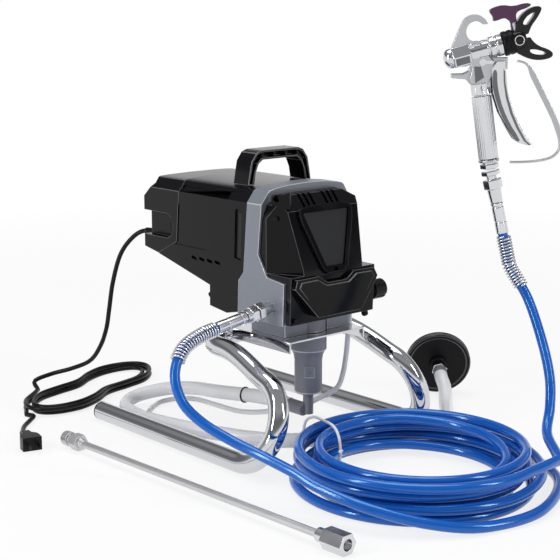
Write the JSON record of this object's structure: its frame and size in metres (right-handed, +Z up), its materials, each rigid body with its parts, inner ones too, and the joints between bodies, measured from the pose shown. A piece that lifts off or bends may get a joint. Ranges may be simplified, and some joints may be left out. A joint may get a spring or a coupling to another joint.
{
  "type": "airless paint sprayer",
  "caption": "Stand-mounted airless paint sprayer with piston pump, coiled hose, spray gun, suction set, mains cord and an extension lance.",
  "frame": {"origin": "middle of the kit's footprint on the floor, cords and hoses left out", "axes": "+Z up, the machine's front faces -Y and its motor points to +Y, +X is the side of the pressure knob"},
  "size_m": [0.6327, 0.8337, 0.5641],
  "materials": {
    "chrome": "polished",
    "zinc": "plated",
    "steel": "satin",
    "aluminium": "satin",
    "copper": "wound copper and laminations",
    "cast_grey": "satin paint on a casting",
    "dark_grey": "matte",
    "black_gloss": "gloss",
    "black_satin": "satin",
    "hose_blue": "smooth blue jacket",
    "clear_hose": "milky translucent",
    "cord_black": "matte jacket"
  },
  "bodies": {
    "machine": {"badge_panel": "dark_grey", "bracket_bolt_left": "zinc", "bracket_bolt_right": "zinc", "brush_cap_left": "black_satin", "brush_cap_right": "black_satin", "carry_handle": "black_satin", "chin_cover": "black_gloss", "cord_hank": "cord_black", "cord_lead": "cord_black", "cover_screw_bottom": "zinc", "cover_screw_top": "zinc", "filter_nut": "chrome", "front_cover": "black_gloss", "gear_frame": "cast_grey", "hose_coil": "hose_blue", "hose_ferrule_gun": "zinc", "hose_ferrule_machine": "zinc", "hose_guard_gun": "zinc", "hose_guard_machine": "zinc", "hose_nut_gun": "zinc", "hose_run_gun": "hose_blue", "hose_run_machine": "hose_blue", "hose_swivel_nut": "zinc", "mains_cord": "cord_black", "mains_plug": "cord_black", "motor_housing": "black_satin", "motor_stator": "steel", "outlet_nipple": "zinc", "prime_valve_body": "zinc", "pump_cylinder": "cast_grey", "pump_head": "dark_grey", "rear_cap": "black_satin", "return_tube": "clear_hose", "skid_cap_left": "black_satin", "skid_cap_right": "black_satin", "stand_bracket": "chrome", "stand_tube": "chrome", "strain_relief": "black_satin", "suction_filter": "black_satin", "suction_hose": "clear_hose", "suction_inlet": "cast_grey", "tube_clip": "steel"},
    "switch_rocker": {"power_switch": "black_gloss"},
    "knob": {"pressure_knob": "black_satin"},
    "prime_lever": {"prime_valve_handle": "black_satin"},
    "rotor": {"motor_armature": "copper", "cooling_fan": "dark_grey"},
    "crank": {"crank_gear": "steel"},
    "piston": {"piston_rod": "steel"},
    "gun": {"gun_body": "aluminium", "gun_grip": "aluminium", "trigger_guard": "zinc", "tip_collar": "black_satin"},
    "trigger_body": {"trigger": "aluminium"},
    "needle_body": {"needle": "steel"},
    "lock_lever": {"trigger_lock": "zinc"},
    "guard_head": {"tip_guard": "black_satin"},
    "tip_body": {"spray_tip": "steel"},
    "lance": {"lance_tube": "zinc", "lance_nut": "zinc"}
  },
  "joints": [
    {"name": "switch_rock", "type": "hinge", "parent": "machine", "child": "switch_rocker", "pos_m": [0.02107, 0.11695, 0.1895], "axis": [1, 0, 0], "range_deg": [0, 12]},
    {"name": "pressure_turn", "type": "hinge", "parent": "machine", "child": "knob", "pos_m": [0.09637, -0.01405, 0.195], "axis": [1, 0, 0], "range_deg": [0, 270]},
    {"name": "prime_turn", "type": "hinge", "parent": "machine", "child": "prime_lever", "pos_m": [0.09637, 0.00645, 0.186], "axis": [1, 0, 0], "range_deg": [0, 90]},
    {"name": "motor_spin", "type": "hinge", "parent": "machine", "child": "rotor", "pos_m": [0.02107, 0.11245, 0.283], "axis": [0, 1, 0], "continuous": true},
    {"name": "crank_spin", "type": "hinge", "parent": "machine", "child": "crank", "pos_m": [0.02107, 0.02595, 0.243], "axis": [0, 1, 0], "continuous": true},
    {"name": "piston_stroke", "type": "slide", "parent": "machine", "child": "piston", "axis": [0, 0, 1], "range_m": [-0.006, 0.006]},
    {"name": "gun_swivel", "type": "hinge", "parent": "machine", "child": "gun", "pos_m": [0.1664, -0.15683, 0.36093], "axis": [-0.1672, 0.1495, 0.9745], "range_deg": [-170, 170]},
    {"name": "trigger_pull", "type": "hinge", "parent": "gun", "child": "trigger_body", "pos_m": [0.17353, -0.16321, 0.4878], "axis": [0.6665, 0.7455, 0], "range_deg": [0, 9], "stiffness_Nm_per_rad": 0.6, "springref_deg": -5.73},
    {"name": "needle_slide", "type": "slide", "parent": "gun", "child": "needle_body", "axis": [-0.7187, 0.6426, -0.2656], "range_m": [0, 0.0021]},
    {"name": "lock_turn", "type": "hinge", "parent": "gun", "child": "lock_lever", "pos_m": [0.15624, -0.14775, 0.4905], "axis": [0.6665, 0.7455, 0], "range_deg": [0, 90]},
    {"name": "guard_turn", "type": "hinge", "parent": "gun", "child": "guard_head", "pos_m": [0.18831, -0.17642, 0.51643], "axis": [0.7187, -0.6426, 0.2656], "range_deg": [-90, 90]},
    {"name": "tip_turn", "type": "hinge", "parent": "guard_head", "child": "tip_body", "pos_m": [0.18831, -0.17642, 0.51643], "axis": [-0.198, 0.177, 0.9641], "range_deg": [0, 180]},
    {"name": "lance_lift", "type": "slide", "parent": "machine", "child": "lance", "axis": [-0.6, 0, 0.8], "range_m": [0, 0.3]}
  ],
  "couplings": [
    {"joint": "crank_spin", "follows": "motor_spin", "ratio": -0.17647},
    {"joint": "needle_slide", "follows": "trigger_pull", "m_per_rad": 0.0127}
  ]
}
